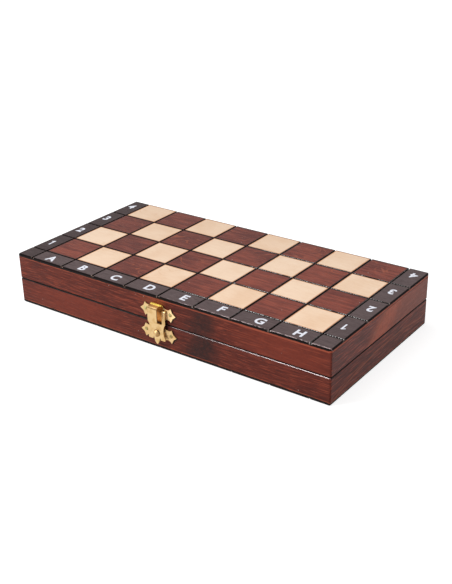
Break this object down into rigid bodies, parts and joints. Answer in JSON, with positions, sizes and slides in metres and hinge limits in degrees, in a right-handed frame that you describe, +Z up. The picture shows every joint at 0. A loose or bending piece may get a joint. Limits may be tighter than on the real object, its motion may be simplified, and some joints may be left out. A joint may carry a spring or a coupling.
{
  "type": "folding chess board",
  "caption": "Folding wooden chess board that closes into a case for the men, with veneered squares, a lettered border, rear hinges and a sprung brass front latch.",
  "frame": {"origin": "centre of the closed case's footprint, on the underside that it rests on", "axes": "+X along the front from file A to file H, +Y from the latch to the hinges, +Z up"},
  "size_m": [0.27, 0.1439, 0.04],
  "materials": {
    "light_wood": "pale maple veneer, satin varnish",
    "dark_wood": "red-brown stained veneer with lighter figure, satin varnish",
    "border_wood": "dark brown stained veneer, satin varnish",
    "panel_wood": "red-brown stained panel edge, burnt dark in the grooves",
    "rail_wood": "red-brown stained rails, satin varnish",
    "felt": "green baize",
    "brass": "polished brass, lightly worn",
    "nail_steel": "dull plated steel"
  },
  "bodies": {
    "base": {"base_light_squares": "light_wood", "base_dark_squares": "dark_wood", "base_border_tiles": "border_wood", "base_panel": "panel_wood", "base_lining": "felt", "base_front_rail": "rail_wood", "base_right_rail": "rail_wood", "base_rear_rail": "rail_wood", "base_left_rail": "rail_wood", "base_hinge_leaf_left": "brass", "base_hinge_leaf_right": "brass", "base_hinge_screws": "brass", "hinge_pin_left": "brass", "hinge_pin_right": "brass", "latch_base_plate": "brass", "latch_base_nails": "nail_steel", "latch_rivet": "brass", "latch_spring": "brass"},
    "lid": {"lid_light_squares": "light_wood", "lid_dark_squares": "dark_wood", "lid_border_tiles": "border_wood", "lid_panel": "panel_wood", "lid_lining": "felt", "lid_front_rail": "rail_wood", "lid_right_rail": "rail_wood", "lid_rear_rail": "rail_wood", "lid_left_rail": "rail_wood", "lid_hinge_leaf_left": "brass", "lid_hinge_leaf_right": "brass", "lid_hinge_screws": "brass", "catch_plate": "brass", "catch_plate_nails": "nail_steel"},
    "hasp": {"hasp_fork": "brass"}
  },
  "joints": [
    {"name": "lid_hinge", "type": "hinge", "parent": "base", "child": "lid", "pos_m": [0, 0.0677, 0.02], "axis": [-1, 0, 0], "range_deg": [0, 180]},
    {"name": "hasp_swing", "type": "hinge", "parent": "base", "child": "hasp", "pos_m": [0, -0.0682, 0.0129], "axis": [1, 0, 0], "range_deg": [0, 8], "stiffness_Nm_per_rad": 0.05, "springref_deg": -11.46, "deforming": ["latch_spring"]}
  ]
}
